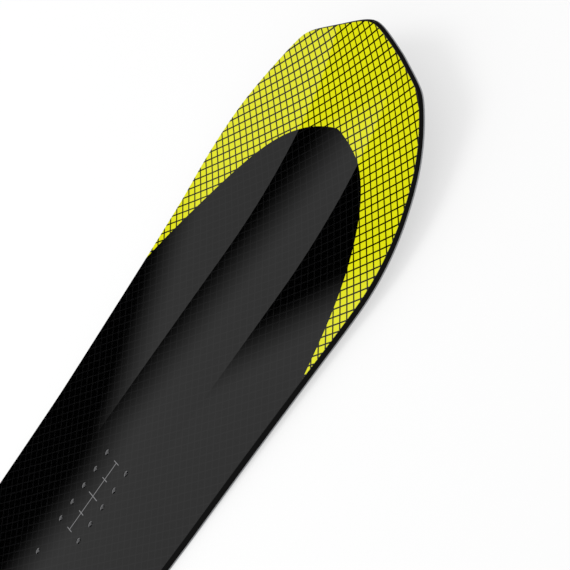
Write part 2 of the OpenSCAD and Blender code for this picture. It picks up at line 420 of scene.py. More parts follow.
@dataclass
class Skin:
    """A surface on its way to a mesh: points, quads, surface places and crease marks."""

    points: Array
    quads: Array
    place: Array
    crease: Array

    @staticmethod
    def grid_quads(rows: int, columns: int, closed: bool = False) -> Array:
        """Quads of a row-major grid of points.

        Args:
            rows: Rows of points.
            columns: Points in a row.
            closed: Whether each row is a ring.

        Returns:
            Corner numbers, with each quad going along a column first and then along a row.
        """
        across = columns if closed else columns - 1
        row, column = np.meshgrid(np.arange(rows - 1), np.arange(across), indexing="ij")
        start = row * columns
        after = (column + 1) % columns
        corners = [start + column, start + columns + column, start + columns + after, start + after]
        return np.stack(corners, -1).reshape(-1, 4)

    def welded(self) -> "Skin":
        """Makes coincident points one.

        Returns:
            The skin with the first point of each weld grain in place of the others, and without the points
            that no face has.
        """
        grains = np.round(self.points / WELD_GRAIN).astype(np.int64)
        _, first, merged = np.unique(grains, axis=0, return_index=True, return_inverse=True)
        quads = first[merged.reshape(-1)][self.quads]
        used, packed = np.unique(quads, return_inverse=True)
        return Skin(self.points[used], packed.reshape(-1, 4), self.place[used], self.crease[used])

    def mesh(self, name: str, sharp_angle: float) -> bpy.types.Mesh:
        """Makes the mesh.

        Args:
            name: Name of the mesh.
            sharp_angle: Angle from which an edge is shaded sharp. Edges between crease points always are.

        Returns:
            A closed mesh with its surface places in the UV map "place". Quads with a repeated corner
            become triangles, and those with fewer corners are dropped.
        """
        kept = self.quads != np.roll(self.quads, 1, axis=1)
        counts = kept.sum(axis=1)
        whole = counts > 2
        loops = self.quads[whole][kept[whole]]
        starts = np.concatenate([[0], np.cumsum(counts[whole])[:-1]])
        mesh = bpy.data.meshes.new(name)
        mesh.vertices.add(len(self.points))
        mesh.vertices.foreach_set("co", self.points.astype(np.float32).ravel())
        mesh.loops.add(len(loops))
        mesh.loops.foreach_set("vertex_index", loops.astype(np.int32))
        mesh.polygons.add(len(starts))
        mesh.polygons.foreach_set("loop_start", starts.astype(np.int32))
        places = mesh.uv_layers.new(name="place")
        places.data.foreach_set("uv", self.place[loops].astype(np.float32).ravel())
        mesh.update(calc_edges=True)
        mesh.validate()
        mesh.shade_smooth()
        mesh.set_sharp_from_angle(angle=sharp_angle)
        ends = np.empty(2 * len(mesh.edges), np.int32)
        mesh.edges.foreach_get("vertices", ends)
        sharp = np.empty(len(mesh.edges), bool)
        mesh.edges.foreach_get("use_edge_sharp", sharp)
        mesh.edges.foreach_set("use_edge_sharp", sharp | self.crease[ends].reshape(-1, 2).all(axis=1))
        return mesh


def closed_layer(low: Skin, high: Array) -> Skin:
    """Closes a layer between two faces.

    Args:
        low: The lower face, with quads that look up.
        high: Points of the upper face, one over each lower point.

    Returns:
        Both faces, joined along every edge that only one quad has, such as the outline and the holes.
    """
    count = len(low.points)
    heads, tails = low.quads, np.roll(low.quads, -1, axis=1)
    ways = np.stack([heads, tails], -1).reshape(-1, 2)
    ways = ways[ways[:, 0] != ways[:, 1]]
    forward, backward = ways[:, 0] * count + ways[:, 1], ways[:, 1] * count + ways[:, 0]
    rim = ways[~np.isin(forward, backward)]
    walls = np.stack([rim[:, 0], rim[:, 1], rim[:, 1] + count, rim[:, 0] + count], -1)
    return Skin(
        np.concatenate([low.points, high]),
        np.concatenate([low.quads + count, low.quads[:, ::-1], walls]),
        np.tile(low.place, (2, 1)),
        np.tile(low.crease, 2),
    )


class Wiring:
    """Short hand for the nodes of one material or world."""

    def __init__(self, tree: bpy.types.NodeTree) -> None:
        """Starts from an empty tree."""
        self.tree = tree
        tree.nodes.clear()

    def feed(self, target: Socket, value: Feed) -> None:
        """Links a socket to an input, or sets the input to a constant.

        Args:
            target: The input.
            value: The socket or the constant.
        """
        if isinstance(value, Socket):
            self.tree.links.new(value, target)
        else:
            target.default_value = value

    def node(self, kind: str, inputs: Inputs | None = None, **settings: object) -> bpy.types.Node:
        """Adds a node.

        Args:
            kind: Type of the node, without its common prefix.
            inputs: What its inputs are fed with, by name or number.
            **settings: Properties of the node.

        Returns:
            The node.
        """
        made = self.tree.nodes.new("ShaderNode" + kind)
        for key, value in settings.items():
            setattr(made, key, value)
        for key, value in (inputs or {}).items():
            self.feed(made.inputs[key], value)
        return made

    def math(self, operation: str, *values: Feed) -> Socket:
        """Result of a math node."""
        return self.node("Math", dict(enumerate(values)), operation=operation).outputs[0]

    def step(self, value: Feed, low: float, high: float, to: Pair = (0.0, 1.0)) -> Socket:
        """Smooth step of a value.

        Args:
            value: What is compared.
            low: Value at which the step starts.
            high: Value at which it ends.
            to: Results at both.

        Returns:
            The step.
        """
        inputs = {"Value": value, "From Min": low, "From Max": high, "To Min": to[0], "To Max": to[1]}
        return self.node("MapRange", inputs, interpolation_type="SMOOTHSTEP").outputs["Result"]

    def mix(self, factor: Feed, first: Feed, second: Feed) -> Socket:
        """Colour between two colours."""
        # Inputs 6 and 7 and output 2 are the node's colour sockets.
        return self.node("Mix", {"Factor": factor, 6: first, 7: second}, data_type="RGBA").outputs[2]

    def noise(self, vector: Socket, scale: Triple, detail: float = 3.0) -> Socket:
        """Fractal noise on a stretched vector."""
        stretched = self.node("Mapping", {"Vector": vector, "Scale": scale}).outputs[0]
        return self.node("TexNoise", {"Vector": stretched, "Scale": 1.0, "Detail": detail}).outputs[0]

    def object_place(self) -> Socket:
        """Place in the board's own frame."""
        return self.node("TexCoord").outputs["Object"]

    def surface_place(self) -> Socket:
        """Place on the piece's own surface."""
        return self.node("UVMap", uv_map="place").outputs[0]

    def bump(self, height: Socket, strength: float, distance: float) -> Socket:
        """Normal of a height."""
        return self.node("Bump", {"Height": height, "Strength": strength, "Distance": distance}).outputs[0]

    def end(self, shader: bpy.types.Node) -> None:
        """Makes a shader the material's surface."""
        self.node("OutputMaterial", {"Surface": shader.outputs[0]})

    def blend(self, share: Socket, first: bpy.types.Node, second: bpy.types.Node) -> None:
        """Makes a blend of two shaders the material's surface."""
        self.end(self.node("MixShader", {0: share, 1: first.outputs[0], 2: second.outputs[0]}))


def blank_material(name: str) -> tuple[bpy.types.Material, Wiring]:
    """Starts a material.

    Args:
        name: Name of the material.

    Returns:
        The material, and the wiring of its empty node tree.
    """
    made = bpy.data.materials.new(name)
    made.use_nodes = True
    return made, Wiring(made.node_tree)


def grey(level: float) -> Triple:
    """Neutral colour."""
    return level, level, level


@dataclass(frozen=True)
class Finish:
    """A surface finish with one colour range, streaks or speckle, gloss and relief."""

    name: str
    dark: Triple
    light: Triple
    stretch: Triple
    gloss: Pair
    relief: float
    metallic: float = 0.0
    specular: float = 0.5
    on_surface: bool = False
    detail: float = 3.0

    def material(self) -> bpy.types.Material:
        """Makes the material.

        Returns:
            A material whose colour, roughness and fine relief are driven by the finish's grain.
        """
        made, wire = blank_material(self.name)
        place = wire.surface_place() if self.on_surface else wire.object_place()
        grain = self.grain(wire, place)
        inputs = {
            "Base Color": wire.mix(grain, (*self.dark, 1), (*self.light, 1)),
            "Roughness": wire.step(grain, *GLOSS_RANGE, self.gloss),
            "Metallic": self.metallic,
            "Specular IOR Level": self.specular,
            "Normal": wire.bump(grain, 1.0, self.relief),
        }
        wire.end(wire.node("BsdfPrincipled", inputs))
        return made

    def grain(self, wire: Wiring, place: Socket) -> Socket:
        """Pattern of the finish, from 0 to 1: stretched noise."""
        return wire.step(wire.noise(place, self.stretch, self.detail), *NOISE_RANGE)


@dataclass(frozen=True)
class WovenFinish(Finish):
    """Glass cloth in resin."""

    thread: float = 0.002
    weave_share: float = 0.35

    def grain(self, wire: Wiring, place: Socket) -> Socket:
        """Plain weave: threads along and across take turns on top.

        Args:
            wire: The material's wiring.
            place: Place that the weave follows.

        Returns:
            Noise, plus a share of the product of a wave along and a wave across.
        """
        parts = wire.node("SeparateXYZ", {0: place})
        turn = math.pi / self.thread
        waves = [wire.math("SINE", wire.math("MULTIPLY", parts.outputs[i], turn)) for i in (0, 1)]
        weave = wire.math("MULTIPLY", waves[0], waves[1])
        noise = wire.noise(place, self.stretch, self.detail)
        return wire.math("MULTIPLY_ADD", weave, self.weave_share, noise)


@dataclass(frozen=True)
class DeckPrint:
    """The deck's print under a clear coat: a slanting grid, yellow at both ends and black between.

    Places are along the deck from the waist, and across it. The edge of a yellow end falls back from its
    apex by apex_slope, rounded over apex_round, and by a further flank_drop at flank_span from its centre.
    """

    layout: InsertLayout
    yellow: Triple = (0.75, 0.755, 0.006)
    ink: Triple = (0.0003, 0.0003, 0.0003)
    faint: Triple = (0.0044, 0.0044, 0.0046)
    mark: Triple = (0.20, 0.20, 0.205)
    grid_pitch: float = 0.008087
    grid_line: float = 0.0016
    faint_line: float = 0.0010
    grid_crossing: Pair = (0.7226, 0.0194)
    nose_apex: float = 0.6746
    tail_apex: float = 0.6446
    apex_slope: float = 0.297
    apex_round: float = 0.0048
    flank_span: float = 0.0887
    flank_drop: float = 0.0378
    flank_power: float = 3.23
    soft: float = 0.0002
    arch_centre: float = -0.0019
    mark_half_w: float = 0.0004
    spine_pitches: float = 2.0
    tick_half: float = 0.0045
    middle_tick_half: float = 0.0085
    coat_ior: float = 1.347
    coat_rough: Pair = (0.03, 0.05)
    fleck_scale: Triple = (900.0, 900.0, 1.0)
    fleck_detail: float = 2.0
    fleck_relief: Pair = (0.02, 0.00002)
    cloud_scale: Triple = (14.0, 14.0, 1.0)
    cloud_shade: float = 0.97

    def material(self) -> bpy.types.Material:
        """Makes the material.

        Returns:
            A glossy material: the body's faint grid and stance scale, and the ends' yellow cells over it.
        """
        made, wire = blank_material("deck_print")
        place = wire.surface_place()
        parts = wire.node("SeparateXYZ", {0: place})
        along, across = parts.outputs[0], wire.math("ABSOLUTE", parts.outputs[1])
        fleck = wire.noise(place, self.fleck_scale, self.fleck_detail)
        cloud = wire.noise(place, self.cloud_scale)
        shaded = (self.cloud_shade * channel for channel in self.yellow)
        cell = wire.mix(wire.step(cloud, *NOISE_RANGE), (*self.yellow, 1), (*shaded, 1))
        ends = wire.mix(self.grid(wire, parts, self.grid_line), (*self.ink, 1), cell)
        body = wire.mix(self.grid(wire, parts, self.faint_line), (*self.faint, 1), (*self.ink, 1))
        marked = wire.mix(self.stance_scale(wire, along, across), body, (*self.mark, 1))
        inputs = {
            "Base Color": wire.mix(self.ends(wire, parts), marked, ends),
            "Roughness": wire.step(cloud, *NOISE_RANGE, self.coat_rough),
            "IOR": self.coat_ior,
            "Normal": wire.bump(fleck, *self.fleck_relief),
        }
        wire.end(wire.node("BsdfPrincipled", inputs))
        return made

    def grid(self, wire: Wiring, parts: bpy.types.Node, line: float) -> Socket:
        """Square grid at 45 degrees to the board.

        Args:
            wire: The material's wiring.
            parts: Node with the places along and across.
            line: Width of a line.

        Returns:
            0 on the lines and 1 in the cells: the lesser distance to the two families of lines.
        """
        density = 1 / (self.grid_pitch * math.sqrt(2))
        a, b = (
            wire.math("MULTIPLY", wire.math("SUBTRACT", parts.outputs[i], self.grid_crossing[i]), density)
            for i in (0, 1)
        )
        families = [wire.math("PINGPONG", wire.math(sign, a, b), 0.5) for sign in ("ADD", "SUBTRACT")]
        nearest = wire.math("MULTIPLY", wire.math("MINIMUM", *families), self.grid_pitch)
        return wire.step(nearest, line / 2 - self.soft, line / 2 + self.soft)

    def ends(self, wire: Wiring, parts: bpy.types.Node) -> Socket:
        """Mask of the yellow ends.

        Args:
            wire: The material's wiring.
            parts: Node with the places along and across.

        Returns:
            1 past an arch whose edge falls back from its rounded apex by a share of the distance from the
            centre line, and by a power of that distance.
        """
        along = parts.outputs[0]
        across = wire.math("ABSOLUTE", wire.math("SUBTRACT", parts.outputs[1], self.arch_centre))
        apex = self.by_end(wire, along, self.nose_apex, self.tail_apex)
        blunt = wire.math("SQRT", wire.math("MULTIPLY_ADD", across, across, self.apex_round**2))
        flank = wire.math("POWER", wire.math("DIVIDE", across, self.flank_span), self.flank_power)
        drop = wire.math("MULTIPLY", flank, self.flank_drop)
        fall = wire.math("MULTIPLY_ADD", blunt, self.apex_slope, drop)
        ahead = wire.math("ADD", wire.math("SUBTRACT", wire.math("ABSOLUTE", along), apex), fall)
        return wire.step(ahead, -self.soft, self.soft)

    def by_end(self, wire: Wiring, along: Socket, nose: float, tail: float) -> Socket:
        """One value on the front half of the board and another on the rear half."""
        is_nose = wire.math("GREATER_THAN", along, 0.0)
        return wire.math("MULTIPLY_ADD", is_nose, nose - tail, tail)

    def stance_scale(self, wire: Wiring, along: Socket, across: Socket) -> Socket:
        """Mask of the plain scale between the two insert rows.

        Args:
            wire: The material's wiring.
            along: Place along the deck.
            across: Distance from the centre line.

        Returns:
            1 on a line along each pack and on a cross tick at each close pair, the middle one longer.
        """
        middle = self.by_end(wire, along, *(abs(self.layout.middles[foot]) for foot in Foot))
        off = wire.math("ABSOLUTE", wire.math("SUBTRACT", wire.math("ABSOLUTE", along), middle))
        fade = self.mark_half_w - self.soft, self.mark_half_w + self.soft, (1.0, 0.0)
        on_pair = wire.step(wire.math("PINGPONG", off, self.layout.pitch / 2), *fade)
        is_middle = wire.math("LESS_THAN", off, self.layout.pitch / 2)
        reach = wire.math("MULTIPLY_ADD", is_middle, self.middle_tick_half - self.tick_half, self.tick_half)
        ticks = wire.math("MULTIPLY", on_pair, wire.math("LESS_THAN", across, reach))
        spine = wire.step(across, *fade)
        in_pack = wire.math("LESS_THAN", off, self.spine_pitches * self.layout.pitch + self.mark_half_w)
        return wire.math("MULTIPLY", wire.math("MAXIMUM", ticks, spine), in_pack)


class Finishes:
    """Every finish of the board, made once."""

    def __init__(self, layout: InsertLayout) -> None:
        """Makes the materials.

        Args:
            layout: Places of the inserts, for the deck's stance ticks.
        """
        recipes = {
            "topsheet": DeckPrint(layout),
            "base": Finish(
                "waxed_base",
                dark=(0.008, 0.008, 0.009),
                light=(0.012, 0.012, 0.013),
                stretch=(8.0, 1600.0, 1.0),
                gloss=(0.32, 0.38),
                relief=0.00001,
            ),
            "sidewall": Finish(
                "sanded_sidewall",
                dark=grey(0.0015),
                light=grey(0.003),
                stretch=(40.0, 2500.0, 1.0),
                gloss=(0.5, 0.65),
                relief=0.00002,
                specular=0.06,
                on_surface=True,
            ),
            "edge_steel": Finish(
                "ground_edge",
                dark=(0.24, 0.245, 0.255),
                light=(0.34, 0.345, 0.355),
                stretch=(30.0, 6000.0, 1.0),
                gloss=(0.24, 0.4),
                relief=0.00001,
                metallic=1.0,
                on_surface=True,
            ),
            "insert_steel": Finish(
                "turned_insert",
                dark=(0.16, 0.16, 0.164),
                light=(0.21, 0.21, 0.214),
                stretch=(1500.0, 1500.0, 4000.0),
                gloss=(0.10, 0.16),
                relief=0.00001,
                metallic=1.0,
            ),
            "rubber": Finish(
                "edge_rubber",
                dark=grey(0.012),
                light=grey(0.02),
                stretch=(800.0, 800.0, 800.0),
                gloss=(0.75, 0.9),
                relief=0.00002,
                specular=0.2,
                on_surface=True,
            ),
            "laminate": WovenFinish(
                "glass_cloth",
                dark=(0.48, 0.53, 0.43),
                light=(0.68, 0.71, 0.60),
                stretch=(60.0, 60.0, 60.0),
                gloss=(0.2, 0.35),
                relief=0.00005,
            ),
            "dyed_laminate": WovenFinish(
                "dyed_glass_cloth",
                dark=grey(0.004),
                light=(0.010, 0.010, 0.011),
                stretch=(60.0, 60.0, 60.0),
                gloss=(0.35, 0.5),
                relief=0.00005,
                specular=0.2,
            ),
            "core_wood": Finish(
                "planed_wood",
                dark=(0.46, 0.29, 0.14),
                light=(0.70, 0.52, 0.31),
                stretch=(3.0, 160.0, 160.0),
                gloss=(0.5, 0.7),
                relief=0.00006,
                detail=6.0,
            ),
            "spacer": Finish(
                "moulded_spacer",
                dark=grey(0.002),
                light=grey(0.004),
                stretch=(500.0, 500.0, 500.0),
                gloss=(0.5, 0.65),
                relief=0.00003,
                specular=0.06,
            ),
        }
        self.by_slot = {slot: recipe.material() for slot, recipe in recipes.items()}

    def dress(self, piece: Piece, slot: str) -> None:
        """Gives a piece the finish of a material slot."""
        piece.data.materials.clear()
        piece.data.materials.append(self.by_slot[slot])


@dataclass
class Bench:
    """What the sub-assemblies share: form, inserts, grid counts and finishes."""

    form: BoardForm
    layout: InsertLayout
    weave: Weave
    finishes: Finishes
    bevel_segments: int = 2
    bevel_angle: float = math.radians(50)

    def seat(self, mesh: bpy.types.Mesh, node: str, slot: str, bevel: float = 0.0) -> Piece:
        """Turns a mesh into a finished piece that stands for a node.

        Args:
            mesh: The piece's mesh, in place.
            node: The node that it replaces.
            slot: Its material slot.
            bevel: Width of the broken edges, or 0 for none.

        Returns:
            The piece.
        """
        piece = bpy.data.objects.new(f"{node}_skin", mesh)
        bpy.context.scene.collection.objects.link(piece)
        if bevel:
            broken = piece.modifiers.new("broken_edges", "BEVEL")
            broken.width = bevel
            broken.segments = self.bevel_segments
            broken.limit_method = "ANGLE"
            broken.angle_limit = self.bevel_angle
            broken.harden_normals = True
        self.finishes.dress(piece, slot)
        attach(piece, BODY)
        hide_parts(node)
        LOG.info("%s: %d points, finish %s", piece.name, len(mesh.vertices), slot)
        return piece


@dataclass
class LaminateSheets:
    """The broad layers: topsheet, upper laminate and running base."""

    bench: Bench
    mouth_r: float = 0.0031
    barrel_hole_r: float = 0.0046
    edge_break: float = 0.00015
    sharp_angle: float = math.radians(35)

    def build(self) -> list[Piece]:
        """Builds the three layers.

        Returns:
            Topsheet, upper laminate and running base.
        """
        form, weave, layout = self.bench.form, self.bench.weave, self.bench.layout
        outline = self.deck_outline(weave.rows(form, layout))
        inner = offset_outline(form, weave.rows(form, None), form.edge_w)
        deck = Face.GLASS, Face.DECK
        glass = Face.CORE_ROOF, Face.GLASS
        base = Face.FLOOR, Face.BASE
        return [
            self.layer("topsheet", "topsheet", outline, deck, self.mouth_r, self.edge_break),
            self.layer("upper_glass", "dyed_laminate", outline, glass, self.barrel_hole_r),
            self.layer("base_sheet", "base", inner, base),
        ]

    def deck_outline(self, rows: Array) -> tuple[Array, Array]:
        """Left outline of the layers over the leaning sidewalls.

        Args:
            rows: Places along the surface.

        Returns:
            Places along and across, where the rows of the running length keep their places.
        """
        form = self.bench.form
        u, half = offset_outline(form, rows, form.sidewall_lean)
        level = np.abs(rows) < form.contact_u
        return np.where(level, rows, u), np.where(level, np.interp(rows, u, half), half)

    def layer(
        self,
        node: str,
        slot: str,
        outline: tuple[Array, Array],
        faces: tuple[Face, Face],
        hole_r: float = 0.0,
        bevel: float = 0.0,
    ) -> Piece:
        """Builds one layer.

        Args:
            node: The node that it stands for.
            slot: Its material slot.
            outline: Places along the surface, and half widths there.
            faces: Lower and upper face.
            hole_r: Radius of its holes at the inserts, or 0 for none.
            bevel: Width of its broken edges.

        Returns:
            The piece.
        """
        form, weave = self.bench.form, self.bench.weave
        rows, half = outline
        layout = self.bench.layout if hole_r else None
        u, t, on_crease = plan_grid(form, weave, rows, half, layout)
        quads = Skin.grid_quads(*u.shape)[:, ::-1]
        if layout:
            u, t, holed = self.drawn_to_holes(u, t, hole_r)
            quads = quads[~holed.ravel()[quads].all(axis=1)]
        u, t = u.ravel(), t.ravel()
        low, high = (form.at(u, t, form.level(face, u)) for face in faces)
        place = np.stack([form.along_deck(u), t], -1)
        flat = Skin(low, quads, place, on_crease.ravel())
        both = closed_layer(flat, high)
        return self.bench.seat(both.welded().mesh(node, self.sharp_angle), node, slot, bevel)

    def drawn_to_holes(self, u: Array, t: Array, hole_r: float) -> tuple[Array, Array, Array]:
        """Draws the grid round each insert into a round hole.

        In a square cell round an insert, square rings of the grid turn into circles: a point at share w of
        the way out from the hole lies between its place on the circle and its place on the square.

        Args:
            u: Places along the surface.
            t: Places across it.
            hole_r: Radius of the holes.

        Returns:
            The new places, and which points lie on or inside a hole.
        """
        reach = self.bench.layout.pitch / 2
        rim = 2 * self.bench.weave.hole_ring / self.bench.weave.cells_per_pitch
        new_u, new_t, holed = u.copy(), t.copy(), np.zeros(u.shape, bool)
        for foot in Foot:
            for centre_u, centre_t in self.bench.layout.centres(foot):
                a, b = (u - centre_u) / reach, (t - centre_t) / reach
                ring = np.maximum(np.abs(a), np.abs(b))
                cell = (ring < 1 - WELD_GRAIN) & (ring > WELD_GRAIN)
                a, b, ring = a[cell], b[cell], ring[cell]
                w = np.clip((ring - rim) / (1 - rim), 0, 1)
                spoke = np.hypot(a, b)
                new_u[cell] = centre_u + (1 - w) * hole_r * a / spoke + w * reach * a / ring
                new_t[cell] = centre_t + (1 - w) * hole_r * b / spoke + w * reach * b / ring
                holed |= np.maximum(np.abs(u - centre_u), np.abs(t - centre_t)) < (rim + WELD_GRAIN) * reach
        return new_u, new_t, holed


def plan_grid(
    form: BoardForm, weave: Weave, rows: Array, half: Array, layout: InsertLayout | None
) -> tuple[Array, Array, Array]:
    """Lays the columns of a layer across its rows.

    Args:
        form: The board.
        weave: Counts of the grid.
        rows: Places along the surface.
        half: Half width of each row.
        layout: Inserts to crowd the columns around, if any.

    Returns:
        Places along and across of every point, and which points lie on a crease. Between the creases the
        columns keep their places, and draw in together near the tips. Outside them they share the room to
        the rim.
    """
    crease = np.minimum(form.crease_w / 2, weave.crease_share * half)[:, None]
    middle = crease * weave.columns(form, layout) / (form.crease_w / 2)
    shares = np.linspace(1, 0, weave.rim_columns, endpoint=False)
    rim = crease + shares * (half[:, None] - crease)
    t = np.hstack([rim, middle, -rim[:, ::-1]])
    u = np.broadcast_to(rows[:, None], t.shape).copy()
    exact = np.isclose(np.abs(t), form.crease_w / 2, atol=WELD_GRAIN)
    bent = np.abs(u) > form.contact_u - form.uplift_lead
    return u, t, exact & bent


def offset_outline(form: BoardForm, rows: Array, inset: float) -> tuple[Array, Array]:
    """Left outline, drawn in square to itself.

    Args:
        form: The board.
        rows: Places along the surface, from vertex to vertex.
        inset: Distance inwards.

    Returns:
        Places along and across. The way at each point runs between its neighbours, which continue past a
        vertex as on the other side.
    """
    half = form.half_width(rows)
    half[[0, -1]] = 0
    u = np.concatenate([rows[1:2], rows, rows[-2:-1]])
    t = np.concatenate([-half[1:2], half, -half[-2:-1]])
    way_u, way_t = u[2:] - u[:-2], t[2:] - t[:-2]
    length = np.hypot(way_u, way_t)
    return rows + inset * way_t / length, half - inset * way_u / length


Corners = list[tuple[float, Face]]


@dataclass
class Rails:
    """The bars along both sides: steel edges, their damping rubber, and the sidewalls."""

    bench: Bench
    edge_break: float = 0.00012
    sharp_angle: float = math.radians(35)

    def build(self) -> list[Piece]:
        """Builds the bars of both sides.

        Returns:
            The left and right bar of each kind.
        """
        form = self.bench.form
        insets = 0, form.edge_w, form.edge_w, form.sidewall_w
        edge_low = list(zip(insets, (Face.FLOOR, Face.FLOOR, Face.BASE, Face.BASE)))
        edge_high = [(inset, Face.FLANGE) for inset in insets]
        rubber = self.slab(Face.FLANGE, Face.CORE_FLOOR)
        wall = self.slab(Face.CORE_FLOOR, Face.CORE_ROOF, form.sidewall_lean)
        bars = {
            "edge": ("edge_steel", edge_low, edge_high, self.edge_break),
            "edge_rubber": ("rubber", *rubber, 0.0),
            "sidewall": ("sidewall", *wall, self.edge_break),
        }
        return [
            self.bar(f"{name}_{side.name.lower()}", slot, side, low, high, bevel)
            for name, (slot, low, high, bevel) in bars.items()
            for side in Side
        ]

    def slab(self, low: Face, high: Face, lean: float = 0.0) -> tuple[Corners, Corners]:
        """Section of a bar between two faces, as wide as the sidewall and leaning in by a distance."""
        width = self.bench.form.sidewall_w
        return [(0, low), (width, low)], [(lean, high), (width, high)]

    def bar(
        self, node: str, slot: str, side: Side, low: Corners, high: Corners, bevel: float
    ) -> Piece:
        """Carries a section along the outline.

        Args:
            node: The node that the bar stands for.
            slot: Its material slot.
            side: Its side of the board.
            low: Lower corners from the outside in, as (distance in, face).
            high: Upper corners over them.
            bevel: Width of its broken edges.

        Returns:
            The piece, closed at both tips, where it meets the bar of the other side.
        """
        form = self.bench.form
        rows = self.bench.weave.rows(form, None)
        ring = low + high[::-1]
        count = len(ring)
        corners = []
        for inset, face in ring:
            u, t = offset_outline(form, rows, inset)
            corners.append(form.at(u, side.value * t, form.level(face, u)))
        points = np.stack(corners, axis=1)
        run = np.concatenate([[0], np.cumsum(np.linalg.norm(np.diff(points[:, 0], axis=0), axis=1))])
        waist = points[len(rows) // 2]
        girth = np.cumsum(np.linalg.norm(np.diff(waist, axis=0, prepend=waist[:1]), axis=1))
        place = np.stack(np.broadcast_arrays(run[:, None], girth[None]), -1)
        sides = Skin.grid_quads(len(rows), count, closed=True)
        i = np.arange(len(low) - 1)
        tail_cap = np.stack([i, i + 1, count - 2 - i, count - 1 - i], -1)
        nose_cap = tail_cap[:, ::-1] + (len(rows) - 1) * count
        quads = np.concatenate([sides, tail_cap, nose_cap])
        if side is Side.RIGHT:
            quads = quads[:, ::-1]
        flat = np.zeros(len(rows) * count, bool)
        skin = Skin(points.reshape(-1, 3), quads, place.reshape(-1, 2), flat).welded()
        return self.bench.seat(skin.mesh(node, self.sharp_angle), node, slot, bevel)


@dataclass
class InsertPacks:
    """The threaded inserts of both packs, turned on their own axes."""

    bench: Bench
    floor: float = 0.0022
    top: float = 0.0077
    flange_r: float = 0.0075
    flange_t: float = 0.001
    barrel_r: float = 0.0045
    bore_r: float = 0.0025
    bore_floor: float = 0.003
    thread_pitch: float = 0.001
    thread_depth: float = 0.0004
    lead_in: float = 0.0004
    round_count: int = 32
    steps_per_turn: int = 8
    sharp_angle: float = math.radians(50)

    def build(self) -> list[Piece]:
        """Builds one piece for each pack."""
        return [self.pack(foot) for foot in Foot]

    def pack(self, foot: Foot) -> Piece:
        """Builds the inserts of one pack.

        Args:
            foot: Which pack.

        Returns:
            The piece, one closed turned shape at each insert.
        """
        form = self.bench.form
        one, quads = self.turned()
        u, t = self.bench.layout.centres(foot).T
        spots = form.at(u, t, 0 * u)
        points = (spots[:, None, :] + one[None]).reshape(-1, 3)
        shifts = np.arange(len(spots))[:, None, None] * len(one)
        quads = (quads[None] + shifts).reshape(-1, 4)
        skin = Skin(points, quads, points[:, :2], np.zeros(len(points), bool)).welded()
        node = f"inserts_{foot.name.lower()}"
        return self.bench.seat(skin.mesh(node, self.sharp_angle), node, "insert_steel")

    def turned(self) -> tuple[Array, Array]:
        """Surface of one insert round the origin.

        Returns:
            Points of radius r at height z and angle a, and their quads. r follows the flange, the barrel,
            the top and the bore. In the bore it swells and shrinks with a triangle wave of z / pitch less
            a / turn, which is a screw thread.
        """
        angle = 2 * np.pi * np.arange(self.round_count) / self.round_count
        shoulder = self.floor + self.flange_t
        mouth_r = self.bore_r + self.thread_depth + self.lead_in
        outside = np.array([
            (0, self.floor),
            (self.flange_r, self.floor),
            (self.flange_r, shoulder),
            (self.barrel_r, shoulder),
            (self.barrel_r, self.top),
            (mouth_r, self.top),
        ])
        depth = self.top - self.lead_in - self.bore_floor
        count = round(depth / self.thread_pitch * self.steps_per_turn)
        z = np.linspace(self.top - self.lead_in, self.bore_floor, count)
        turn = z[None] / self.thread_pitch - angle[:, None] / (2 * np.pi)
        wave = 2 * np.abs(turn - np.round(turn))
        bore = self.bore_r + self.thread_depth * wave
        shell = np.broadcast_to(outside[:, 0], (self.round_count, len(outside)))
        r = np.hstack([shell, bore, 0 * angle[:, None]])
        heights = np.concatenate([outside[:, 1], z, [self.bore_floor]])
        x, y = r * np.cos(angle)[:, None], r * np.sin(angle)[:, None]
        points = np.stack([x, y, np.broadcast_to(heights, r.shape)], -1)
        quads = Skin.grid_quads(len(heights), self.round_count, closed=True)[:, ::-1]
        return points.transpose(1, 0, 2).reshape(-1, 3), quads


@dataclass
class PackedSolids:
    """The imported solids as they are. Those that no skin stands for show their finish."""

    finishes: Finishes

    def dress(self, frame: dict) -> None:
        """Gives every node the finish of its material slot.

        Args:
            frame: The loaded frame.
        """
        for part in frame["record"]["subparts"]:
            node = frame["nodes"][part["node"]]
            self.finishes.dress(node, part["material_slot"])
            LOG.info("%s: finish %s", part["node"], part["material_slot"])


